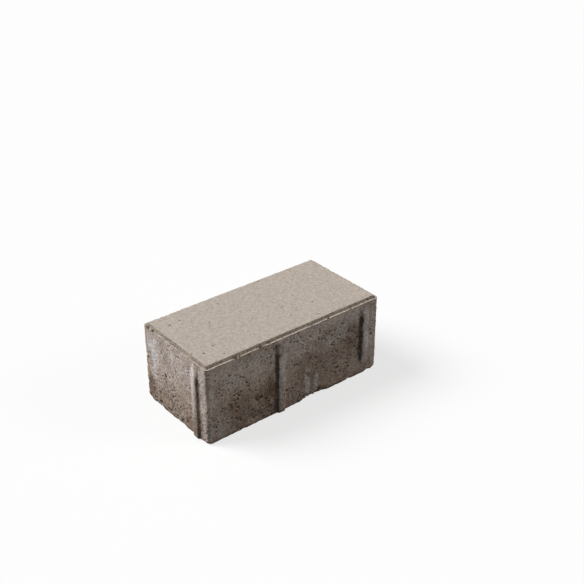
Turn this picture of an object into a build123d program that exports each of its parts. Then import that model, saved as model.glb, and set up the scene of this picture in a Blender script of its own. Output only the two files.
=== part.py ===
from build123d import *
import os

# Concrete paving stone, one vibration-pressed block of earth-moist concrete.
# Frame: origin at the middle of the underside, +X along the length, +Z up to the wearing face.
# All sizes in millimetres.

# Grid that the stone is laid on, and the open joint that is left round it.
module_length = 200.0
module_width = 100.0
joint = 3.0
thickness = 80.0

# The block itself.
body_length = module_length - joint
body_width = module_width - joint
corner_radius = 3.2

# Rim of the wearing face, pressed down by the bevelled shoe of the press:
# a flat lip outside, then a slope up to the wearing face.
lip_width = 1.2
slope_width = 2.6
rim_drop = 2.4

# Spacer ribs on the sides. Every module edge carries one, set off towards its right-hand end
# (seen from outside), so that the ribs of two neighbours never meet.
rib_unit = module_width
rib_offset = 18.5
rib_foot_width = 10.8
rib_crest_width = 6.0
rib_projection = 2.2
rib_crest_rounding = 0.8
rib_start_below_lip = 1.5
rib_run_in = 10.0
rib_root = 4.0

# Underside arris.
arris_bevel = 1.0

# Levels that follow from the sizes above.
lip_level = thickness - rim_drop
rib_top = lip_level - rib_start_below_lip
rib_full = rib_top - rib_run_in


def rounded_plate(inset, level):
    """Outline of the block drawn in by a distance, lying at a level."""
    return Plane.XY.offset(level) * RectangleRounded(
        body_length - 2 * inset,
        body_width - 2 * inset,
        max(corner_radius - inset, 1.0),
    )


def make_body():
    """Block with its pressed rim and bevelled underside arris."""
    block = extrude(rounded_plate(0.0, 0.0), amount=lip_level)
    underside = block.faces().sort_by(Axis.Z)[0]
    block = chamfer(underside.edges(), arris_bevel)
    shoulder = loft(
        [
            rounded_plate(lip_width, lip_level),
            rounded_plate(lip_width + slope_width, thickness),
        ],
        ruled=True,
    )
    return block + shoulder


def make_rib():
    """One spacer rib on a face at y = 0, standing out towards -Y, with its foot on z = 0.

    Its section is a trapezoid with a rounded crest. Below the lip it runs in from nothing to its
    full height, so that a stone slides down past its neighbour.
    """
    section = Polyline(
        (-rib_foot_width / 2, rib_root),
        (-rib_foot_width / 2, 0),
        (-rib_crest_width / 2, -rib_projection),
        (rib_crest_width / 2, -rib_projection),
        (rib_foot_width / 2, 0),
        (rib_foot_width / 2, rib_root),
        close=True,
    )
    profile = make_face(section)
    crest = profile.vertices().sort_by(Axis.Y)[0:2]
    profile = fillet(crest, rib_crest_rounding)
    bar = extrude(profile, amount=rib_top + 1)
    side_line = Polyline(
        (rib_root, 0),
        (-rib_projection + arris_bevel, 0),
        (-rib_projection, arris_bevel),
        (-rib_projection, rib_full),
        (0, rib_top),
        (rib_root, rib_top + 1),
        close=True,
    )
    side = make_face(Plane.YZ * side_line)
    envelope = extrude(side, amount=rib_foot_width, both=True)
    return bar & envelope


def rib_places():
    """Positions of the ribs on one half of the outline: one long side and one short side.

    Each is given as (x, y, turn about Z) and the other half follows by half a turn.
    """
    places = []
    count_long = round(module_length / rib_unit)
    for index in range(count_long):
        right_end = -module_length / 2 + (index + 1) * rib_unit
        places.append((right_end - rib_offset, -body_width / 2, 0))
    count_short = round(module_width / rib_unit)
    for index in range(count_short):
        right_end = module_width / 2 - (index + 1) * rib_unit
        places.append((-body_length / 2, right_end + rib_offset, -90))
    return places


def make_stone():
    """The whole stone: block, rim and ribs in one piece."""
    stone = make_body()
    rib = make_rib()
    for half_turn in (0, 180):
        for x, y, turn in rib_places():
            stone = stone + Rot(0, 0, half_turn) * Pos(x, y, 0) * Rot(0, 0, turn) * rib
    return stone


os.makedirs("parts", exist_ok=True)
paving_stone = make_stone().solids().sort_by(SortBy.VOLUME)[-1]
export_step(paving_stone, "parts/paving_stone.step")
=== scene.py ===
import random
from math import pi, radians, sqrt

import bmesh
import bpy
from bpy.props import FloatProperty, FloatVectorProperty, IntProperty, PointerProperty
from bpy.types import Operator, Panel, PropertyGroup
from mathutils import Matrix, Vector, kdtree, noise


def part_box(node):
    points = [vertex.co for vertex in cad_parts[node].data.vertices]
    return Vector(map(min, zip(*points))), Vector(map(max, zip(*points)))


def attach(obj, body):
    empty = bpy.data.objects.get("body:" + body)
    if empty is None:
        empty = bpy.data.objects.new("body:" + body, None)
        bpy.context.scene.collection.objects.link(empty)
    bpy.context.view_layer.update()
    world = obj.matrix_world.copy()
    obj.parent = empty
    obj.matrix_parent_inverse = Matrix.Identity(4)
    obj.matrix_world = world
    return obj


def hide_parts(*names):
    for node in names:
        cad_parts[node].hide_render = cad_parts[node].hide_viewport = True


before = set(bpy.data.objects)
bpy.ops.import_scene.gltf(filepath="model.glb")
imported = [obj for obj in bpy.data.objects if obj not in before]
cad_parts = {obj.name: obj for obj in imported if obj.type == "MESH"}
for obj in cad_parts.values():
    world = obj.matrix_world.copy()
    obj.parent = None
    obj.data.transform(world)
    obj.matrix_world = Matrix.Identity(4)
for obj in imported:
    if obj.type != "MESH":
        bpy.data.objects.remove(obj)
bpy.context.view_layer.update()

bl_info = {
    "name": "Concrete Paving Stone",
    "version": (1, 0, 0),
    "blender": (4, 5, 0),
    "location": "3D View > Sidebar > Paving",
    "description": "Casts a vibration-pressed paving stone and lights it in a plain studio",
    "category": "Object",
}

MM = 0.001
NODE_LOW, NODE_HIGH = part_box("paving_stone")


def hex_linear(code):
    """An sRGB hex colour as linear red, green and blue."""
    parts = [int(code[i : i + 2], 16) / 255 for i in (1, 3, 5)]
    return tuple(c / 12.92 if c <= 0.04045 else ((c + 0.055) / 1.055) ** 2.4 for c in parts)


def add_node(tree, kind, settings=None, links=None):
    """Add a shader node, give its settings and sockets their values, and link its inputs."""
    node = tree.nodes.new(kind)
    for key, value in (settings or {}).items():
        if isinstance(key, str) and hasattr(node, key):
            setattr(node, key, value)
        else:
            node.inputs[key].default_value = value
    for key, source in (links or {}).items():
        tree.links.new(source, node.inputs[key])
    return node


def length_setting(name, description, millimetres):
    """A length for the panel, given in millimetres and kept in metres."""
    return FloatProperty(
        name=name, description=description, default=millimetres * MM, unit="LENGTH"
    )


def colour_setting(name, description, code):
    """A colour for the panel, given as an sRGB hex code and kept as linear light."""
    return FloatVectorProperty(
        name=name, description=description, default=hex_linear(code), subtype="COLOR", min=0, max=1
    )


def strength_setting(name, description, value):
    """The strength of a light for the panel."""
    return FloatProperty(name=name, description=description, default=value, min=0)


class PavingSizes(PropertyGroup):
    """Sizes of the cast block."""

    corner_radius: length_setting(
        "Corner Radius", "Rounding of the four upright corners, as the mould box leaves it", 3.2
    )
    arris: length_setting("Underside Arris", "Bevel round the underside before it crumbles", 1.0)
    lip_width: length_setting("Lip Width", "Flat lip outside the pressed slope", 1.2)
    slope_width: length_setting(
        "Slope Width", "Width of the pressed slope between the lip and the wearing face", 2.6
    )
    rim_drop: length_setting("Rim Drop", "How far the lip lies below the wearing face", 2.4)
    rib_projection: length_setting("Rib Projection", "How far a spacer rib stands out", 2.2)
    rib_foot: length_setting("Rib Foot", "Width of a spacer rib where it leaves the side", 10.8)
    rib_crest: length_setting("Rib Crest", "Width of a spacer rib's flat crest", 6.0)
    rib_start: length_setting("Rib Start", "Distance below the lip at which a rib begins", 1.5)
    rib_run_in: length_setting(
        "Rib Run-in", "Length over which a rib rises to its full projection", 10.0
    )
    rib_offset: length_setting(
        "Rib Offset", "Distance of a rib's middle from the right-hand end of its module edge", 18.5
    )
    module: length_setting("Module", "Length of the module edge that carries one rib", 100.0)
    mesh_step: length_setting(
        "Mesh Step", "Size of a coarse cell, then divided in four each way, or in two below", 5.3
    )
    seed: IntProperty(
        name="Seed", description="Picks another pattern of random pits and roughness", default=7
    )


class PavingColours(PropertyGroup):
    """Colours of the concrete."""

    wearing: colour_setting("Wearing Face", "Cement paste and sand of the pressed top", "#B4A99E")
    side: colour_setting("Side", "Cement skin that slid along the mould wall", "#C8B6A9")
    # Also the colour of painted shade along the foot of the sides.
    earthy_and_shade: colour_setting(
        "Earthy Patches", "Sandier, browner concrete, mostly low on the sides", "#8A715D"
    )
    # Also the colour of painted highlights on rib crests and near the front corners.
    bloom_and_highlight: colour_setting("Lime Bloom", "Whitish lime that has dried on the skin", "#E0D9D6")
    smear: colour_setting("Pressed Slope", "Dense dark paste under the bevelled shoe", "#968A7D")
    lip: colour_setting("Lip", "Thin dry burr on the outer edge of the rim", "#BEB2A5")
    # Painted shade in pits, pores, deep arris breaks, underside dents and along one flank of each
    # rib.
    hollow: colour_setting("Hollows", "Shaded concrete in pits and beside the ribs", "#362A23")
    # Also painted shade where the crumbled underside arris faces down.
    broken: colour_setting("Broken Edges", "Open concrete where an edge has crumbled", "#55422F")
    pale_grain: colour_setting("Pale Grains", "Light sand in the paste", "#DCD0C3")
    dark_grain: colour_setting("Dark Grains", "Brown sand in the paste", "#705A49")


class StudioSettings(PropertyGroup):
    """Lamps, room light and lens."""

    key_strength: strength_setting("Key Lamp", "Broad lamp from behind on the left", 3.6)
    fill_strength: strength_setting("Fill Lamp", "Lamp from the right", 0.72)
    sky_strength: strength_setting("Room Light", "Even light from all round", 0.08)
    focal_length: FloatProperty(
        name="Focal Length",
        description="Lens on a 36 mm wide sensor",
        default=63.39,
        unit="CAMERA",
    )


# How the clean block is meshed. A point counts as on a face when it is this near, in metres, and as
# on the skin of the sides when it is this near to their outline.
TOUCH = 1e-6
SKIN_DEPTH = 1e-5
CORNER_SEGMENTS = 6
RIB_SMOOTHINGS = 2
# Heights over the arris with a cut of their own, so that a crumbled arris has a shape, and the
# distance in from the outline beyond which the underside is coarser, all in millimetres.
FOOT_LEVELS = (2.4, 5.2)
UNDERSIDE_MARGIN = 8


def spaced(points, step):
    """Levels through all the given points, with gaps of about a step at most."""
    levels = []
    points = sorted(set(round(p, 7) for p in points))
    for a, b in zip(points, points[1:]):
        count = max(1, round((b - a) / step + 0.35))
        levels += [a + (b - a) * i / count for i in range(count)]
    return levels + [points[-1]]


def cut(bm, axis, levels):
    """Cut the whole mesh along planes across an axis."""
    normal = Vector((0, 0, 0))
    normal[axis] = 1
    for level in levels:
        point = normal * level
        geometry = bm.verts[:] + bm.edges[:] + bm.faces[:]
        bmesh.ops.bisect_plane(bm, geom=geometry, dist=TOUCH, plane_co=point, plane_no=normal)


def draw_in(bm, face, width, rise):
    """Inset a flat end face and move its inner part up or down. Returns the inner face."""
    bmesh.ops.inset_region(bm, faces=[face], thickness=width, depth=0, use_even_offset=True)
    bmesh.ops.translate(bm, verts=face.verts, vec=(0, 0, rise))
    return face


class BlockPlan:
    """Levels and distances that the casting and the weathering share."""

    def __init__(self, sizes):
        self.sizes = sizes
        self.half_x = NODE_HIGH.x - sizes.rib_projection
        self.half_y = NODE_HIGH.y - sizes.rib_projection
        self.top = NODE_HIGH.z
        self.lip = self.top - sizes.rim_drop
        self.rib_top = self.lip - sizes.rib_start
        self.rib_full = self.rib_top - sizes.rib_run_in
        self.ribs = self.rib_places()

    def rib_places(self):
        """Each rib as (axis it stands out along, sign, middle along the other axis)."""
        module, offset = self.sizes.module, self.sizes.rib_offset
        places = []
        for sign in (-1, 1):
            for index in (0, 1):
                middle = index * module - offset
                places.append((1, sign, -sign * middle))
            places.append((0, sign, sign * (module / 2 - offset)))
        return places

    def inset(self, x, y):
        """Distance in from the outer outline, in plan."""
        r = self.sizes.corner_radius
        qx, qy = abs(x) - self.half_x + r, abs(y) - self.half_y + r
        return r - sqrt(max(qx, 0) ** 2 + max(qy, 0) ** 2) - min(max(qx, qy), 0)

    def outward(self, x, y):
        """Direction out of the outline, in plan."""
        r = self.sizes.corner_radius
        qx, qy = abs(x) - self.half_x + r, abs(y) - self.half_y + r
        if qx > 0 and qy > 0:
            d = Vector((qx, qy, 0))
        elif qx > qy:
            d = Vector((1, 0, 0))
        else:
            d = Vector((0, 1, 0))
        d.x, d.y = (d.x if x >= 0 else -d.x), (d.y if y >= 0 else -d.y)
        return d.normalized()


def shape_box(bm, plan):
    """Rounded box with its pressed rim and its bevelled underside."""
    s = plan.sizes
    made = bmesh.ops.create_cube(bm, size=1)
    height = plan.lip - s.arris
    bmesh.ops.scale(bm, vec=(2 * plan.half_x, 2 * plan.half_y, height), verts=made["verts"])
    bmesh.ops.translate(bm, vec=(0, 0, s.arris + height / 2), verts=made["verts"])
    upright = [e for e in bm.edges if abs(e.verts[0].co.z - e.verts[1].co.z) > height / 2]
    bmesh.ops.bevel(
        bm,
        geom=upright,
        offset=s.corner_radius,
        offset_type="OFFSET",
        segments=CORNER_SEGMENTS,
        profile=0.5,
        affect="EDGES",
        material=-1,
    )
    bm.normal_update()
    top = max(bm.faces, key=lambda f: f.calc_center_median().z)
    under = min(bm.faces, key=lambda f: f.calc_center_median().z)
    draw_in(bm, top, s.lip_width, 0)
    draw_in(bm, top, s.slope_width, s.rim_drop)
    draw_in(bm, under, s.arris, -s.arris)


def cut_grid(bm, plan):
    """Cut the box into coarse cells, with lines along the feet and crests of the ribs."""
    s = plan.sizes
    across, along = [], []
    for axis, _, middle in plan.ribs:
        halves = (-s.rib_foot / 2, -s.rib_crest / 2, s.rib_crest / 2, s.rib_foot / 2)
        (across if axis == 1 else along).extend(middle + half for half in halves)
    end_x, end_y = plan.half_x - s.corner_radius, plan.half_y - s.corner_radius
    cut(bm, 0, spaced([-end_x, end_x] + across, s.mesh_step))
    cut(bm, 1, spaced([-end_y, end_y] + along, s.mesh_step))
    foot = [s.arris] + [s.arris + level * MM for level in FOOT_LEVELS]
    low = spaced(foot + [plan.rib_full], s.mesh_step)
    cut(bm, 2, low[1:] + [(plan.rib_full + plan.rib_top) / 2, plan.rib_top])


def raise_ribs(bm, plan):
    """Pull the crests of the spacer ribs out of the sides, less and less towards their tops."""
    s = plan.sizes
    for axis, sign, middle in plan.ribs:
        half = plan.half_x if axis == 0 else plan.half_y
        for v in bm.verts:
            out, side = v.co[axis] * sign, v.co[1 - axis]
            under = v.co.z < TOUCH and out > half - s.arris - TOUCH
            on_skin = out > half - TOUCH or under
            on_crest = abs(side - middle) < s.rib_crest / 2 + TOUCH
            if on_skin and on_crest and v.co.z < plan.rib_top:
                rise = min((plan.rib_top - v.co.z) / s.rib_run_in, 1) * s.rib_projection
                v.co[axis] += sign * rise


def divide(bm, plan):
    """Divide every cell in four each way, but in two in the middle of the underside."""
    bmesh.ops.subdivide_edges(bm, edges=bm.edges[:], cuts=1, use_grid_fill=True)
    margin = UNDERSIDE_MARGIN * MM
    hidden = {v for v in bm.verts if v.co.z < TOUCH and plan.inset(v.co.x, v.co.y) > margin}
    seen = [e for e in bm.edges if not (e.verts[0] in hidden and e.verts[1] in hidden)]
    bmesh.ops.subdivide_edges(bm, edges=seen, cuts=1, use_grid_fill=True)
    bm.normal_update()


def round_ribs(bm, plan):
    """Round the feet and crests of the ribs."""
    near_ribs = []
    for v in bm.verts:
        if v.co.z < plan.rib_top + MM and plan.inset(v.co.x, v.co.y) < SKIN_DEPTH:
            for axis, sign, middle in plan.ribs:
                reach = plan.sizes.rib_foot / 2 + MM
                if v.co[axis] * sign > 0 and abs(v.co[1 - axis] - middle) < reach:
                    near_ribs.append(v)
                    break
    for _ in range(RIB_SMOOTHINGS):
        bmesh.ops.smooth_vert(
            bm, verts=near_ribs, factor=0.5, use_axis_x=True, use_axis_y=True, use_axis_z=False
        )


def cast_block(bm, plan):
    """The clean block: rounded box, bevelled underside, pressed rim and spacer ribs."""
    shape_box(bm, plan)
    cut_grid(bm, plan)
    raise_ribs(bm, plan)
    divide(bm, plan)
    round_ribs(bm, plan)


def ease(a, b, x):
    """0 at a, 1 at b, smooth between. Works either way round."""
    t = min(max((x - a) / (b - a), 0), 1)
    return t * t * (3 - 2 * t)


def rough(p, size, octaves=3, shift=0.0):
    """Fractal noise about 0 for a point in millimetres, with lumps of the given size."""
    q = Vector((p[0] / size + shift, p[1] / size - shift, p[2] / size + 2 * shift))
    return noise.fractal(q, 1.0, 2.0, octaves)


def side_point(plan, side, along, height):
    """A point in millimetres on a side. Sides are front, back, left and right."""
    x, y = plan.half_x / MM, plan.half_y / MM
    if side in ("front", "back"):
        return Vector((along, -y if side == "front" else y, height))
    return Vector((-x if side == "left" else x, along, height))


# Pits that the eye picks out: side, place along it, height and radius in millimetres.
MARKED_PITS = (
    ("front", -62.3, 41.4, 1.5),
    ("front", -65.0, 39.2, 1.0),
    ("front", -40.7, 26.1, 1.9),
    ("front", -43.6, 24.4, 1.2),
    ("front", -45.9, 26.8, 1.2),
    ("front", -51.7, 29.4, 1.1),
    ("front", -74.7, 32.6, 1.4),
    ("front", -73.0, 29.8, 1.2),
    ("front", -67.6, 23.2, 1.3),
    ("front", -82.7, 32.8, 1.2),
    ("front", -56.1, 48.6, 1.2),
    ("front", -41.9, 43.0, 1.2),
    ("front", -30.8, 41.5, 1.1),
    ("front", -11.6, 20.2, 1.8),
    ("front", -9.2, 21.4, 1.2),
    ("front", -14.4, 8.2, 1.7),
    ("front", 5.3, 51.7, 1.2),
    ("front", 41.5, 47.8, 1.5),
    ("front", 43.6, 46.6, 1.0),
    ("front", 48.2, 51.8, 1.1),
    ("front", 51.2, 54.8, 1.5),
    ("front", 56.4, 46.2, 1.2),
    ("front", 73.5, 43.9, 1.7),
    ("front", 71.3, 42.1, 1.2),
    ("front", 22.0, 42.1, 1.6),
    ("front", 24.6, 41.2, 1.1),
    ("front", 28.6, 34.5, 1.2),
    ("front", 48.5, 20.1, 1.9),
    ("front", 44.5, 25.9, 1.4),
    ("front", 35.0, 21.9, 1.2),
    ("front", 26.6, 6.2, 1.8),
    ("front", 81.2, 48.5, 1.2),
    ("front", 90.9, 40.5, 1.5),
    ("left", 47.6, 47.5, 2.6),
    ("left", 47.6, 36.0, 2.2),
    ("left", 47.4, 26.5, 1.8),
    ("left", 47.6, 18.0, 2.8),
    ("left", 47.4, 8.5, 2.4),
    ("left", 42.3, 47.0, 1.2),
    ("left", 43.2, 5.0, 1.8),
    ("left", 35.0, 6.0, 1.6),
    ("left", 25.8, 5.6, 2.4),
    ("left", 11.7, 6.5, 1.3),
    ("left", -2.0, 4.6, 1.9),
    ("left", -9.0, 4.8, 2.3),
    ("left", 25.4, 14.9, 1.5),
    ("left", 31.7, 32.3, 1.2),
    ("left", 19.7, 37.5, 1.0),
    ("left", 4.0, 24.0, 1.4),
    ("left", -2.1, 48.0, 1.1),
    ("left", -7.6, 39.3, 1.1),
    ("left", -34.5, 70.5, 1.4),
)

# Specks on the wearing face: place in plan and radius in millimetres.
TOP_SPECKS = (
    (-64.0, 21.0, 1.0),
    (-82.1, 29.0, 1.4),
    (-71.3, -22.2, 1.2),
    (-84.9, -27.4, 1.2),
    (-93.7, -22.2, 1.0),
    (-35.0, 30.0, 0.8),
    (-18.0, -8.0, 0.9),
    (4.0, 12.0, 0.7),
    (22.0, -20.0, 0.9),
    (36.0, 14.0, 0.8),
    (61.0, 31.0, 0.9),
    (74.0, -18.0, 0.8),
)

# Places where the underside arris has broken further back: side, place along it and size.
BROKEN_ARRISES = (
    ("front", 13.0, 7.5),
    ("front", 18.5, 9.0),
    ("front", 25.0, 8.0),
    ("front", 32.0, 5.5),
    ("front", -60.0, 3.5),
    ("front", 64.0, 4.0),
    ("front", 88.0, 5.0),
    ("left", 45.5, 7.0),
    ("left", 33.0, 4.0),
    ("left", 25.5, 5.5),
    ("left", -2.0, 4.5),
    ("left", -10.0, 5.0),
    ("back", -40.0, 6.0),
    ("back", 12.0, 4.5),
    ("back", 52.0, 5.0),
    ("back", 90.0, 6.5),
    ("right", -20.0, 6.0),
    ("right", 30.0, 5.0),
)

# Bites out of the rim: place in plan and radius.
RIM_BITES = (
    (-66.9, -48.2, 2.2),
    (-63.2, -48.6, 1.5),
    (-39.5, -48.3, 2.3),
    (-36.5, -48.8, 1.3),
    (38.0, -48.5, 1.7),
    (63.0, -48.8, 1.3),
    (-98.0, 41.5, 3.0),
    (-97.5, 34.0, 2.0),
    (-98.6, 4.4, 1.3),
    (-98.6, -9.4, 1.3),
    (-98.6, -21.9, 1.6),
    (-72.0, 48.4, 1.6),
    (15.0, 48.5, 1.8),
    (98.5, 20.0, 1.8),
    (98.4, -12.0, 1.4),
)

# Whitish lime, and painted highlights on rib crests and near the front corners: side, place along
# it, height, half width, half height and strength.
LIME_AND_HIGHLIGHTS = (
    ("left", 35.0, 65.0, 9.0, 10.0, 1.0),
    ("left", 31.0, 50.0, 6.0, 10.0, 0.9),
    ("left", 33.5, 34.0, 6.0, 9.0, 0.6),
    ("left", 6.0, 60.0, 44.0, 22.0, 0.4),
    # Painted highlight on the crest of the left rib.
    ("left", -30.0, 48.0, 2.6, 26.0, 1.2),
    # Painted light on the strip between the left rib and the front corner.
    ("left", -43.5, 42.0, 6.0, 44.0, 0.5),
    ("front", -82.0, 17.0, 8.0, 17.0, 0.7),
    ("front", -66.0, 62.0, 44.0, 14.0, 0.35),
    # Painted highlight on the crest of the middle front rib.
    ("front", -18.0, 40.0, 5.0, 36.0, 0.35),
    # Painted sheen by the front-left corner.
    ("front", -95.5, 44.0, 6.0, 44.0, 0.4),
    ("front", 30.0, 64.0, 66.0, 16.0, 0.45),
    ("front", 12.6, 19.0, 3.6, 15.0, 1.2),
    ("front", 23.5, 18.0, 2.4, 11.0, 1.0),
    # Painted highlight on the right-hand front rib.
    ("front", 84.0, 46.0, 4.5, 32.0, 0.7),
    ("front", 93.5, 42.0, 6.0, 40.0, 0.5),
    ("back", 60.0, 50.0, 22.0, 22.0, 0.6),
    ("back", -20.0, 30.0, 9.0, 24.0, 0.6),
    ("back", -75.0, 62.0, 26.0, 14.0, 0.5),
    ("right", -14.0, 52.0, 20.0, 22.0, 0.55),
    ("right", 30.0, 24.0, 6.0, 20.0, 0.5),
)

# Browner, more open concrete, given in the same way.
EARTH = (
    ("front", -46.0, 21.0, 52.0, 26.0, 0.45),
    ("front", 40.0, 40.0, 46.0, 28.0, 0.35),
    ("front", 66.0, 46.0, 18.0, 26.0, 0.2),
    ("front", -19.0, 67.0, 7.0, 8.0, 0.8),
    ("front", 21.0, 3.0, 16.0, 6.0, 0.8),
    ("front", -29.0, 20.0, 7.0, 22.0, 0.45),
    ("left", 0.0, 16.0, 50.0, 24.0, 0.4),
    ("left", 45.0, 26.0, 8.0, 22.0, 0.35),
    ("back", -60.0, 26.0, 44.0, 22.0, 0.45),
    ("back", 30.0, 20.0, 40.0, 20.0, 0.4),
    ("right", 4.0, 16.0, 46.0, 20.0, 0.45),
)


def place_side(plan, point):
    """Which side a point in millimetres is nearest to, and its place along that side."""
    if plan.half_x / MM - abs(point.x) < plan.half_y / MM - abs(point.y):
        return ("left" if point.x < 0 else "right"), point.y
    return ("front" if point.y < 0 else "back"), point.x


def patches(table, side, along, height):
    """Strength of the soft-edged patches of a table at a place on a side."""
    total = 0.0
    for name, at, level, half_width, half_height, strength in table:
        if name == side:
            far = ((along - at) / half_width) ** 2 + ((height - level) / half_height) ** 2
            if far < 1.6:
                total += strength * ease(1.6, 0.1, far)
    return total


# Depth of a pit as a share of its radius: a marked one, a marked speck and a random speck.
PIT_DEPTH = 0.95
SPECK_DEPTH = 0.8
RANDOM_SPECK_DEPTH = 0.7
# How many random ones there are, and how often a place is tried before a side is given up.
RANDOM_SPECKS = 55
RANDOM_PITS = (("front", 360), ("back", 280), ("left", 125), ("right", 120))
MOST_TRIES = 9000
# The farthest that a pit is felt, and how far round it the mesh is finer, in millimetres.
PIT_REACH = 3.3
PIT_MARGIN = 0.5


def crowding(plan, side, along, point):
    """How likely a random pit is at a place: more in brown concrete, fewer under the lip."""
    crowd = 0.2 + 0.8 * patches(EARTH, side, along, point.z) + 0.7 * rough(point, 15.0, 2, 3.3)
    return crowd * (0.4 + 0.6 * ease(plan.lip / MM - 3, plan.lip / MM - 18, point.z))


def scatter_pits(plan, rng):
    """All pits as (centre, radius, depth) in millimetres: the marked ones and random ones."""
    half_x, half_y = plan.half_x / MM, plan.half_y / MM
    top, lip = plan.top / MM, plan.lip / MM
    pits = [(side_point(plan, side, a, z), r, PIT_DEPTH * r) for side, a, z, r in MARKED_PITS]
    pits += [(Vector((x, y, top)), r, SPECK_DEPTH * r) for x, y, r in TOP_SPECKS]
    for _ in range(RANDOM_SPECKS):
        x = rng.uniform(-0.95, 0.95) * half_x
        y = rng.uniform(-0.9, 0.9) * half_y
        radius = 0.5 + 0.6 * rng.random() ** 2
        pits.append((Vector((x, y, top)), radius, RANDOM_SPECK_DEPTH * radius))
    for side, count in RANDOM_PITS:
        reach = (half_x if side in ("front", "back") else half_y) - 2
        tries = 0
        while count > 0 and tries < MOST_TRIES:
            tries += 1
            along = rng.uniform(-reach, reach)
            point = side_point(plan, side, along, rng.uniform(2.5, lip - 2))
            if rng.random() > crowding(plan, side, along, point):
                continue
            radius = 0.7 + 0.8 * rng.random() ** 2
            pits.append((point, radius, radius * rng.uniform(0.6, 1.1)))
            count -= 1
    return pits


def open_up(bm, pits):
    """Divide the faces round the pits once more, so that their walls have a shape."""
    tree = kdtree.KDTree(len(pits))
    for index, (point, _, _) in enumerate(pits):
        tree.insert(point, index)
    tree.balance()
    edges = set()
    for face in bm.faces:
        _, index, distance = tree.find(face.calc_center_median() / MM)
        radius = pits[index][1]
        if distance < radius + PIT_MARGIN:
            edges.update(face.edges)
    bmesh.ops.subdivide_edges(bm, edges=list(edges), cuts=1, use_grid_fill=True)
    return tree


# Strengths that the weathering writes at each point and the material reads. Some of them carry
# painted shade and painted highlights.
LOOKS = ("wearing", "smear", "lip", "hollow", "broken", "lime", "earth")

# A rib's painted shade along one flank grows wider and paler from the first height down to the
# second, in millimetres. It is fainter by this factor on the two sides that the photo doesn't show.
FLANK_HIGH, FLANK_LOW = 62, 15
UNSEEN_FLANK_SHADE = 0.55
# Height and distance from the outline up to which the underside arris can crumble, in millimetres.
ARRIS_ZONE = 12


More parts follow.
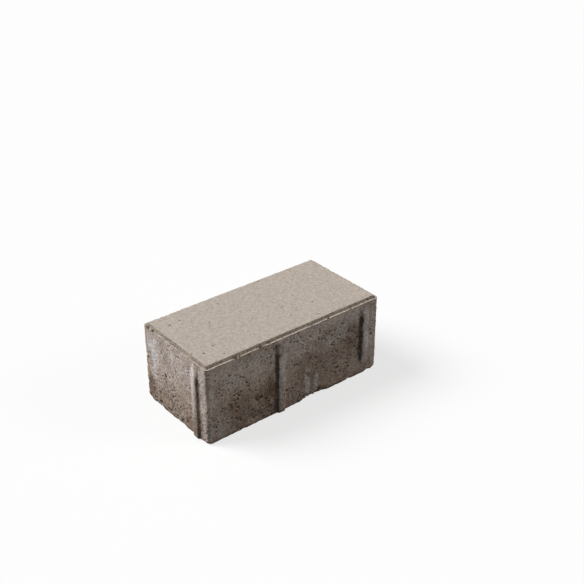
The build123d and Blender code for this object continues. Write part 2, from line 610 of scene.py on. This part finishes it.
class Weather:
    """Relief that the mould, the press and handling leave, worked out point by point.

    top_face, side_face and arris take a point in millimetres, return how far it moves, and fill
    in what the concrete looks like there. Their bare numbers are sizes and heights in millimetres,
    shares, and the offsets that keep one noise apart from the next.
    """

    def __init__(self, bm, plan):
        self.plan = plan
        sizes = plan.sizes
        rng = random.Random(sizes.seed)
        self.shift = sizes.seed * 1.37
        self.pits = scatter_pits(plan, rng)
        self.tree = open_up(bm, self.pits)
        self.breaks = [(side_point(plan, side, a, 0), r) for side, a, r in BROKEN_ARRISES]
        self.lip_width = sizes.lip_width / MM
        self.plateau = (sizes.lip_width + sizes.slope_width) / MM
        self.lip = plan.lip / MM
        self.top = plan.top / MM

    def noise(self, p, size, octaves, offset):
        """Fractal noise that the seed shifts, and that differs from one offset to the next."""
        return rough(p, size, octaves, self.shift + offset)

    def pit(self, p, look):
        """How deep the pits round a point take it. Their insides get painted shade."""
        sunk = 0.0
        for _, index, distance in self.tree.find_range(p, PIT_REACH):
            _, radius, depth = self.pits[index]
            ragged = radius * (1 + 0.4 * rough(p, 1.3, 1, index * 0.7))
            inside = 1 - ease(0.25 * ragged, ragged, distance)
            sunk += depth * inside
            look["hollow"] = max(look["hollow"], inside)
        return sunk

    def bite(self, p):
        """How much of the rim is bitten off at a point, from 0 to 1."""
        bitten = 0.0
        for x, y, radius in RIM_BITES:
            near = sqrt((p.x - x) ** 2 + (p.y - y) ** 2)
            if near < 1.5 * radius:
                ragged = radius * (1 + 0.5 * self.noise(p, 1.8, 2, x))
                bitten = max(bitten, ease(ragged, 0.45 * ragged, near))
        return bitten

    def top_face(self, p, inset, out, look):
        """The wearing face, the pressed slope and the lip, with its thin burr and its bites."""
        move = Vector((0, 0, 0))
        width = self.lip_width
        near_rim = inset < self.plateau + 2
        bite = self.bite(p) if near_rim else 0.0
        edge = self.plateau + 0.2 * self.noise(p, 6.0, 2, 0) + 0.18 * self.noise(p, 2.2, 2, 9)
        look["wearing"] = ease(edge - 0.5, edge + 0.15, inset)
        look["smear"] = ease(width * 0.8, width * 1.15, inset) * (1 - look["wearing"])
        look["lip"] = 1 - ease(width * 0.7, width * 1.15, inset)
        look["lip"] *= 0.75 + 0.6 * self.noise(p, 24.0, 2, 25)
        if near_rim:
            climb = ease(width * 0.8, edge + 0.3, inset) ** 0.85
            level = self.lip + (self.top - self.lip) * climb
            if inset <= width + 1e-3:
                gap = ease(0.52, 0.70, self.noise(p, 5.0, 2, 12))
                burr = max(0.0, 0.20 + 0.26 * self.noise(p, 3.5, 2, 2))
                level += burr * (1 - gap) * (1 - 0.7 * inset / width) - 0.35 * gap
                look["lip"] *= 1 - 0.8 * gap
                look["broken"] = 0.4 * gap
                move -= out * (0.25 * gap + 0.10 * abs(self.noise(p, 3.0, 2, 21)))
            move.z = level - p.z
        else:
            move.z = 0.08 * self.noise(p, 30.0, 2, 0) - 0.05
        move.z = min(move.z, self.top - p.z) - 1.3 * bite - self.pit(p, look)
        move -= out * 0.9 * bite * ease(3.0, 0.0, inset)
        look["lip"] *= 1 - bite
        look["wearing"] *= 1 - bite
        look["broken"] = max(look["broken"], bite)
        return move

    def side_face(self, p, out, look):
        """A side: uneven skin, lime and brown patches, painted highlights, painted shade along the
        foot, pits, and the ribs.
        """
        side, along = place_side(self.plan, p)
        cloud = self.noise(p, 16.0, 3, 5)
        look["lime"] = patches(LIME_AND_HIGHLIGHTS, side, along, p.z) * (0.75 + 0.7 * cloud)
        earth = patches(EARTH, side, along, p.z) * (0.8 - 0.8 * cloud)
        # Browner towards the bottom, with painted shade along the foot where the side meets the
        # floor.
        foot = ease(4.5, 0.5, p.z + 1.2 * self.noise(p, 6.0, 2, 8))
        look["earth"] = earth + 0.22 * ease(34, 4, p.z) + 0.8 * foot
        skin = 0.16 * self.noise(p, 11.0, 2, 1) + 0.28 * self.noise(p, 3.6, 3, 3)
        move = out * (skin - 0.15)
        for rib in self.plan.ribs:
            move -= self.rib(p, side, rib, cloud, out, look)
        return move - out * self.pit(p, look)

    def rib(self, p, side, rib, cloud, out, look):
        """A rib, with a painted highlight on its crest and painted shade along one flank. Returns
        what has worn off it.
        """
        axis, sign, middle = rib
        sizes, rib_full = self.plan.sizes, self.plan.rib_full / MM
        crest, foot = sizes.rib_crest / MM / 2, sizes.rib_foot / MM / 2
        across = (p[1 - axis] - middle / MM) * sign
        half = (self.plan.half_x if axis == 0 else self.plan.half_y) / MM
        if p[axis] * sign < half - 1 or abs(across) > foot + 6:
            return Vector((0, 0, 0))
        stands = max(0.0, p[axis] * sign - half) / (sizes.rib_projection / MM)
        # Painted highlight on the crest, stronger where the rib stands further out.
        look["lime"] += 0.2 * stands * ease(crest + 0.8, crest - 0.5, abs(across)) * (1 + cloud)
        # Painted shade along one flank, wider and paler low down.
        waver = across + 0.9 * self.noise(p, 8.0, 2, 19)
        low = ease(FLANK_HIGH, FLANK_LOW, p.z)
        spread, depth = (3.0 + 2.4 * low, 0.95) if axis == 1 else (1.4, 0.75)
        flank = ease(crest - 0.6, crest + 0.9, waver) * ease(foot + spread, foot - 0.4, waver)
        flank *= depth - 0.2 * low + 0.45 * self.noise(p, 9.0, 2, 23)
        flank *= 1 + 0.5 * self.noise(p, 2.6, 2, 27)
        if side in ("back", "right"):
            flank *= UNSEEN_FLANK_SHADE
        look["hollow"] = flank * ease(rib_full + 2, rib_full - 4, p.z)
        if side != "front" or middle <= 0:
            return Vector((0, 0, 0))
        # The right-hand rib of the front fades out low down.
        lost = ease(22, 9, p.z + 3 * self.noise(p, 6.0, 2, 17))
        look["hollow"] *= 1 - lost
        look["broken"] = 0.4 * lost * stands
        return out * lost * stands * sizes.rib_projection / MM

    def arris(self, p, inset, out, look):
        """The underside arris, crumbled back by an uneven amount and most at the corners, with
        painted shade.
        """
        plan = self.plan
        away = sqrt(max(inset, 0) ** 2 + p.z**2)
        reach = 1.2 + 0.6 * self.noise(p, 12.0, 2, 6) + 0.8 * abs(self.noise(p, 3.2, 2, 8))
        corner = min(abs(p.x) - plan.half_x / MM, abs(p.y) - plan.half_y / MM) + 7
        reach += 1.8 * ease(0, 7, corner) * (1 + 0.5 * self.noise(p, 5.0, 2, 15))
        for point, size in self.breaks:
            near = (p - point).length
            if near < size:
                reach += 0.6 * size * (1 - near / size) * (1 + 0.8 * self.noise(p, 2.6, 2, 14))
        deep = ease(2.6, 4.4, reach)
        # The crumbled part is brown concrete with painted shade, as it faces down; deep breaks get
        # more painted shade.
        crumbled = 1 - ease(reach * 0.7, reach + 1.4 + 1.4 * deep, away)
        shaded = 0.85 * deep * (1 - ease(reach * 0.7, reach + 2.0, away))
        look["broken"] = max(look["broken"], crumbled)
        look["hollow"] = max(look["hollow"], shaded)
        if away > reach:
            return Vector((0, 0, 0))
        move = (Vector((0, 0, 0.8)) - out) * (reach - away) * 0.42
        move.z += max(0.0, 0.25 * self.noise(p, 2.4, 2, 7))
        return move

    def underside(self, p, look):
        """The middle of the underside: shallow unevenness, and dents with painted shade in the
        colour alone.
        """
        look["hollow"] = ease(0.35, 0.8, self.noise(p, 4.0, 2, 11))
        look["earth"] = 0.5 + 0.5 * self.noise(p, 14.0, 2, 13)
        return Vector((0, 0, max(0.0, 0.35 * self.noise(p, 6.0, 3, 10))))


def weather(bm, plan):
    """Give the clean block its relief and write what the concrete looks like at each point."""
    weathering = Weather(bm, plan)
    layers = {name: bm.verts.layers.float.new(name) for name in LOOKS}
    moves = []
    for v in bm.verts:
        p = v.co / MM
        inset = plan.inset(v.co.x, v.co.y) / MM
        out = plan.outward(v.co.x, v.co.y)
        look = dict.fromkeys(LOOKS, 0.0)
        move = Vector((0, 0, 0))
        if p.z > weathering.lip - 0.01:
            move = weathering.top_face(p, inset, out, look)
        elif inset < 0.1:
            move = out * max(inset, 0) + weathering.side_face(p, out, look)
        elif p.z < 0.01 and inset > 3:
            move = weathering.underside(p, look)
        if p.z < ARRIS_ZONE and inset < ARRIS_ZONE:
            move += weathering.arris(p, inset, out, look)
        for name in LOOKS:
            v[layers[name]] = look[name]
        moves.append((v, move * MM))
    for v, move in moves:
        v.co += move
        for axis in range(3):
            v.co[axis] = min(max(v.co[axis], NODE_LOW[axis]), NODE_HIGH[axis])


def cleared_tree(block):
    """Switch a material or a world to nodes and return its tree, emptied."""
    block.use_nodes = True
    block.node_tree.nodes.clear()
    return block.node_tree


def mix(tree, factor, a, b, blend="MIX"):
    """Mix two colours, each a socket or a value, and return the result's socket."""
    settings, links = {"data_type": "RGBA", "blend_type": blend}, {}
    for index, value in ((0, factor), (6, a), (7, b)):
        if isinstance(value, bpy.types.NodeSocket):
            links[index] = value
        else:
            settings[index] = value if index == 0 else (*value, 1)
    return add_node(tree, "ShaderNodeMix", settings, links).outputs[2]


def ramp(tree, source, low, high, to_low=0.0, to_high=1.0):
    """Map a value from one range to another, smoothly and clamped."""
    node = add_node(
        tree,
        "ShaderNodeMapRange",
        {"interpolation_type": "SMOOTHSTEP", 1: low, 2: high, 3: to_low, 4: to_high},
        {0: source},
    )
    return node.outputs[0]


def math(tree, operation, a, b):
    """A sum, product or the like of two values, each a socket or a number."""
    settings, links = {"operation": operation}, {}
    for index, value in ((0, a), (1, b)):
        (links if isinstance(value, bpy.types.NodeSocket) else settings)[index] = value
    return add_node(tree, "ShaderNodeMath", settings, links).outputs[0]


# Sand in the paste: size of its lumps in millimetres, its darkest and lightest tone, and how much
# of it the wearing face shows.
SAND = (
    (0.8, 0.74, 1.24, 0.5),
    (1.5, 0.88, 1.12, 1.0),
    (2.4, 0.84, 1.14, 0.25),
)
# How far grains are pushed out of round, from end to end, and the depth of the finest relief, both
# in millimetres.
GRAIN_PUSH = 1.6
SAND_RELIEF = 0.7


class Concrete:
    """Node tree of the concrete, with patterns of real sizes in the stone's own coordinates."""

    def __init__(self, tree):
        self.tree = tree
        self.place = add_node(tree, "ShaderNodeTexCoord").outputs["Object"]
        self.mask = {}
        for name in LOOKS:
            attribute = add_node(tree, "ShaderNodeAttribute", {"attribute_name": name})
            self.mask[name] = attribute.outputs["Fac"]
        self.ragged = self.pushed_place()

    def lumps(self, size_mm, detail=2.0, stretch=None):
        """Noise with lumps of a real size, drawn out along Z by a factor if asked."""
        source = self.place
        if stretch:
            scale = {"Scale": (1, 1, 1 / stretch)}
            mapping = add_node(self.tree, "ShaderNodeMapping", scale, {"Vector": source})
            source = mapping.outputs[0]
        settings = {"Scale": 1 / (size_mm * MM), "Detail": detail}
        lumpy = add_node(self.tree, "ShaderNodeTexNoise", settings, {"Vector": source})
        return lumpy.outputs["Fac"]

    def pushed_place(self):
        """Coordinates pushed about, because grains aren't round."""
        size = GRAIN_PUSH * MM
        settings = {"Scale": 1 / size, "Detail": 1.0}
        push = add_node(self.tree, "ShaderNodeTexNoise", settings, {"Vector": self.place})
        kind = "ShaderNodeVectorMath"
        settings = {"operation": "SUBTRACT", 1: (0.5, 0.5, 0.5)}
        push = add_node(self.tree, kind, settings, {0: push.outputs["Color"]})
        settings = {"operation": "SCALE", "Scale": size}
        push = add_node(self.tree, kind, settings, {0: push.outputs[0]})
        links = {0: self.place, 1: push.outputs[0]}
        return add_node(self.tree, kind, {"operation": "ADD"}, links).outputs[0]

    def grains(self, cell_mm, radius_mm, share):
        """Scattered grains: cells of a real size, of which a share holds a grain."""
        scale = {"Scale": 1 / (cell_mm * MM)}
        cells = add_node(self.tree, "ShaderNodeTexVoronoi", scale, {"Vector": self.ragged})
        radius = radius_mm / cell_mm
        near = ramp(self.tree, cells.outputs["Distance"], radius, radius * 0.7)
        links = {0: cells.outputs["Color"]}
        pick = add_node(self.tree, "ShaderNodeSeparateColor", None, links).outputs[0]
        chosen = ramp(self.tree, pick, 1 - share, 1 - share + 0.04)
        return math(self.tree, "MULTIPLY", near, chosen)

    def paste(self, colours):
        """Grey paste with brown patches and painted foot shade, upright streaks of lime and painted
        highlights, and the pressed top.
        """
        tree, mask = self.tree, self.mask
        patchy = ramp(tree, self.lumps(7, 4.0), 0.3, 0.6, 0.6, 1.2)
        brown = math(tree, "MULTIPLY", mask["earth"], patchy)
        blotch = ramp(tree, self.lumps(22, 3.0), 0.46, 0.7, 0.0, 0.35)
        brown = math(tree, "MINIMUM", math(tree, "ADD", brown, blotch), 1.0)
        skin = mix(tree, brown, tuple(colours.side), tuple(colours.earthy_and_shade))
        streaky = ramp(tree, self.lumps(5, 4.0, 1.5), 0.32, 0.62, 0.5, 1.1)
        white = math(tree, "MINIMUM", math(tree, "MULTIPLY", mask["lime"], streaky), 1.0)
        skin = mix(tree, white, skin, tuple(colours.bloom_and_highlight))
        colour = mix(tree, mask["wearing"], skin, tuple(colours.wearing))
        colour = mix(tree, mask["smear"], colour, tuple(colours.smear))
        return mix(tree, mask["lip"], colour, tuple(colours.lip))

    def sanded(self, colour, colours):
        """Fine sand all over, faint upright drag marks, and pale and dark grains."""
        tree = self.tree
        for size_mm, low, high, share in SAND:
            pattern = self.lumps(size_mm, 3.0)
            tone = ramp(tree, pattern, 0.3, 0.7, low, high)
            faint = ramp(tree, pattern, 0.3, 0.7, 1 - share * (1 - low), 1 + share * (high - 1))
            shown = mix(tree, self.mask["wearing"], tone, faint)
            colour = mix(tree, 1.0, colour, shown, "MULTIPLY")
        drag = ramp(tree, self.lumps(3.5, 3.0, 2.5), 0.3, 0.7, 0.90, 1.08)
        colour = mix(tree, 1.0, colour, drag, "MULTIPLY")
        pale = math(tree, "MULTIPLY", self.grains(2.1, 0.5, 0.22), 0.40)
        colour = mix(tree, pale, colour, tuple(colours.pale_grain))
        dark = math(tree, "MULTIPLY", self.grains(2.5, 0.55, 0.12), 0.45)
        return mix(tree, dark, colour, tuple(colours.dark_grain))

    def pores(self, smooth):
        """Pores too fine for the mesh, in clusters: more in brown parts, few on smooth ones. They
        darken the colour as painted shade.
        """
        tree, mask = self.tree, self.mask
        cluster = math(tree, "SUBTRACT", self.lumps(13.0, 2.0), 0.5)
        openness = math(tree, "MULTIPLY", cluster, 0.26)
        openness = math(tree, "ADD", openness, ramp(tree, mask["earth"], 0.0, 1.0, 0.0, 0.05))
        closed = math(tree, "MULTIPLY", smooth, 0.08)
        closed = math(tree, "ADD", closed, ramp(tree, mask["lime"], 0.0, 1.0, 0.0, 0.06))
        openness = math(tree, "SUBTRACT", openness, closed)
        larger = math(tree, "ADD", self.lumps(1.6, 2.0), openness)
        smaller = math(tree, "ADD", self.lumps(0.9, 1.0), openness)
        larger = ramp(tree, larger, 0.61, 0.70)
        smaller = ramp(tree, smaller, 0.64, 0.71, 0.0, 0.8)
        return math(tree, "MAXIMUM", larger, smaller)

    def darkened(self, colour, pores, colours):
        """Broken edges brown with some painted shade, and painted shade in pores, pits, breaks,
        dents and along the ribs' flanks.
        """
        tree, mask = self.tree, self.mask
        broken = ramp(tree, mask["broken"], 0.1, 0.9, 0.0, 0.85)
        colour = mix(tree, broken, colour, tuple(colours.broken))
        hollow = ramp(tree, mask["hollow"], 0.05, 0.85, 0.0, 0.93)
        dark = math(tree, "MAXIMUM", math(tree, "MULTIPLY", pores, 0.72), hollow)
        return mix(tree, dark, colour, tuple(colours.hollow))

    def relief(self, pores, smooth):
        """Relief too fine for the mesh: sand standing proud, weaker on smooth parts, and pores."""
        tree = self.tree
        height = math(tree, "SUBTRACT", self.lumps(1.5, 4.0), math(tree, "MULTIPLY", pores, 1.5))
        links = {"Height": height, "Strength": ramp(tree, smooth, 0.0, 1.0, 1.0, 0.4)}
        return add_node(tree, "ShaderNodeBump", {"Distance": SAND_RELIEF * MM}, links).outputs[0]


def pressed_concrete(colours):
    """Vibration-pressed concrete: dry cement paste packed with sand, no gloss at all.

    It gives the eye an even, sandy wearing face, sides with a thin mottled skin that lime has
    bloomed on, painted highlights on the ribs, browner and more open low down with painted shade
    along the foot, and painted shade in hollows.
    """
    material = bpy.data.materials.new("vibration_pressed_concrete")
    tree = cleared_tree(material)
    concrete = Concrete(tree)
    smooth = math(tree, "MAXIMUM", concrete.mask["wearing"], concrete.mask["lip"])
    pores = concrete.pores(smooth)
    colour = concrete.sanded(concrete.paste(colours), colours)
    colour = concrete.darkened(colour, pores, colours)
    shader = add_node(
        tree,
        "ShaderNodeBsdfPrincipled",
        {"Roughness": 0.93, "IOR": 1.5},
        {"Base Color": colour, "Normal": concrete.relief(pores, smooth)},
    )
    add_node(tree, "ShaderNodeOutputMaterial", None, {"Surface": shader.outputs[0]})
    return material


# Half a side of the square floor, in metres. The camera sees it pale and lifted by a share of plain
# white, and to all other light it is a dim grey.
FLOOR_HALF = 6
FLOOR_DIM = 0.12
FLOOR_PALE = 0.95
FLOOR_LIFT = 0.72
# Each lamp's name, the way towards it, the setting of its strength, its spread in degrees and tone.
LAMPS = (
    ("key_lamp", (-0.50, 0.50, 0.707), "key_strength", 35, (1, 1, 1)),
    ("fill_lamp", (0.62, -0.62, 0.48), "fill_strength", 25, (1, 0.97, 0.93)),
)
# Where the photo was taken from: place in metres, then turn, tilt down and roll in degrees.
CAMERA_PLACE = (-0.49205, -0.64110, 0.55454)
CAMERA_TURN = -39.36
CAMERA_TILT = 29.52
CAMERA_ROLL = 0.16
SENSOR_WIDTH = 36


def grey(value):
    """A plain grey as red, green, blue and alpha."""
    return (value, value, value, 1)


def seen_directly(tree):
    """1 for what the camera sees, straight on or by gloss or glass, and 0 for filling light."""
    rays = add_node(tree, "ShaderNodeLightPath").outputs
    seen = math(tree, "MAXIMUM", rays["Is Camera Ray"], rays["Is Glossy Ray"])
    return math(tree, "MAXIMUM", seen, rays["Is Transmission Ray"])


def white_floor():
    """Matt white studio floor. The camera sees it almost white, and it throws little light back."""
    material = bpy.data.materials.new("matt_white_floor")
    tree = cleared_tree(material)
    dim = add_node(tree, "ShaderNodeBsdfDiffuse", {"Color": grey(FLOOR_DIM)})
    matt = add_node(tree, "ShaderNodeBsdfDiffuse", {"Color": grey(FLOOR_PALE)})
    lift = add_node(tree, "ShaderNodeEmission", {"Color": grey(1), "Strength": 1.0})
    links = {1: matt.outputs[0], 2: lift.outputs[0]}
    pale = add_node(tree, "ShaderNodeMixShader", {0: FLOOR_LIFT}, links)
    links = {0: seen_directly(tree), 1: dim.outputs[0], 2: pale.outputs[0]}
    both = add_node(tree, "ShaderNodeMixShader", None, links)
    add_node(tree, "ShaderNodeOutputMaterial", None, {"Surface": both.outputs[0]})
    return material


def studio_room(strength):
    """A room that looks white to the camera and gives an even light of its own strength."""
    world = bpy.data.worlds.new("studio_room")
    tree = cleared_tree(world)
    room = add_node(tree, "ShaderNodeBackground", {"Color": grey(1), "Strength": strength})
    white = add_node(tree, "ShaderNodeBackground", {"Color": grey(1), "Strength": 1.0})
    links = {0: seen_directly(tree), 1: room.outputs[0], 2: white.outputs[0]}
    both = add_node(tree, "ShaderNodeMixShader", None, links)
    add_node(tree, "ShaderNodeOutputWorld", None, {"Surface": both.outputs[0]})
    return world


def hang_lamp(scene, name, towards, strength, spread, tone):
    """A far lamp with a broad disc, shining from the given direction."""
    lamp = bpy.data.lights.new(name, "SUN")
    lamp.energy = strength
    lamp.angle = radians(spread)
    lamp.color = tone
    hung = bpy.data.objects.new(name, lamp)
    hung.rotation_euler = Vector(towards).to_track_quat("Z", "Y").to_euler()
    scene.collection.objects.link(hung)


def stand_camera(scene, focal_length):
    """The camera where the photo was taken from."""
    lens = bpy.data.cameras.new("photo_camera")
    lens.sensor_width = SENSOR_WIDTH
    lens.lens = focal_length
    lens.clip_start = 0.01
    camera = bpy.data.objects.new("photo_camera", lens)
    camera.matrix_world = (
        Matrix.Translation(CAMERA_PLACE)
        @ Matrix.Rotation(radians(CAMERA_TURN), 4, "Z")
        @ Matrix.Rotation(pi / 2 - radians(CAMERA_TILT), 4, "X")
        @ Matrix.Rotation(radians(CAMERA_ROLL), 4, "Z")
    )
    scene.collection.objects.link(camera)
    scene.camera = camera


class PAVING_OT_cast_stone(Operator):
    """Cast the paving stone in one piece, weather it and give it its concrete."""

    bl_idname = "paving.cast_stone"
    bl_label = "Cast Paving Stone"

    def execute(self, context):
        plan = BlockPlan(context.scene.paving_sizes)
        bm = bmesh.new()
        cast_block(bm, plan)
        weather(bm, plan)
        bmesh.ops.recalc_face_normals(bm, faces=bm.faces[:])
        for face in bm.faces:
            face.smooth = True
        mesh = bpy.data.meshes.new("pressed_block")
        bm.to_mesh(mesh)
        bm.free()
        if not mesh.polygons:
            raise RuntimeError("the block has no faces")
        mesh.set_sharp_from_angle(angle=radians(55))
        mesh.materials.append(pressed_concrete(context.scene.paving_colours))
        stone = bpy.data.objects.new("pressed_block", mesh)
        context.collection.objects.link(stone)
        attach(stone, "root")
        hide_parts("paving_stone")
        return {"FINISHED"}


class PAVING_OT_set_studio(Operator):
    """Lay the white floor, hang the lamps and stand the camera."""

    bl_idname = "paving.set_studio"
    bl_label = "Set Up Studio"

    def execute(self, context):
        scene, studio = context.scene, context.scene.paving_studio
        bm = bmesh.new()
        bmesh.ops.create_grid(bm, x_segments=2, y_segments=2, size=FLOOR_HALF)
        mesh = bpy.data.meshes.new("studio_floor")
        bm.to_mesh(mesh)
        bm.free()
        mesh.materials.append(white_floor())
        floor = bpy.data.objects.new("studio_floor", mesh)
        scene.collection.objects.link(floor)
        for name, towards, setting, spread, tone in LAMPS:
            hang_lamp(scene, name, towards, getattr(studio, setting), spread, tone)
        scene.world = studio_room(studio.sky_strength)
        stand_camera(scene, studio.focal_length)
        scene.view_settings.view_transform = "Standard"
        return {"FINISHED"}


class PAVING_PT_panel(Panel):
    """Sizes, colours and buttons of the paving stone."""

    bl_idname = "PAVING_PT_panel"
    bl_label = "Paving Stone"
    bl_space_type = "VIEW_3D"
    bl_region_type = "UI"
    bl_category = "Paving"

    def draw(self, context):
        scene = context.scene
        for group in (scene.paving_sizes, scene.paving_colours, scene.paving_studio):
            box = self.layout.box()
            for name in group.__annotations__:
                box.prop(group, name)
        self.layout.operator("paving.cast_stone")
        self.layout.operator("paving.set_studio")


CLASSES = (
    PavingSizes,
    PavingColours,
    StudioSettings,
    PAVING_OT_cast_stone,
    PAVING_OT_set_studio,
    PAVING_PT_panel,
)


def register():
    for cls in CLASSES:
        bpy.utils.register_class(cls)
    bpy.types.Scene.paving_sizes = PointerProperty(type=PavingSizes)
    bpy.types.Scene.paving_colours = PointerProperty(type=PavingColours)
    bpy.types.Scene.paving_studio = PointerProperty(type=StudioSettings)


def unregister():
    del bpy.types.Scene.paving_studio
    del bpy.types.Scene.paving_colours
    del bpy.types.Scene.paving_sizes
    for cls in reversed(CLASSES):
        bpy.utils.unregister_class(cls)


def main():
    register()
    bpy.ops.paving.cast_stone()
    bpy.ops.paving.set_studio()


if __name__ == "__main__":
    main()
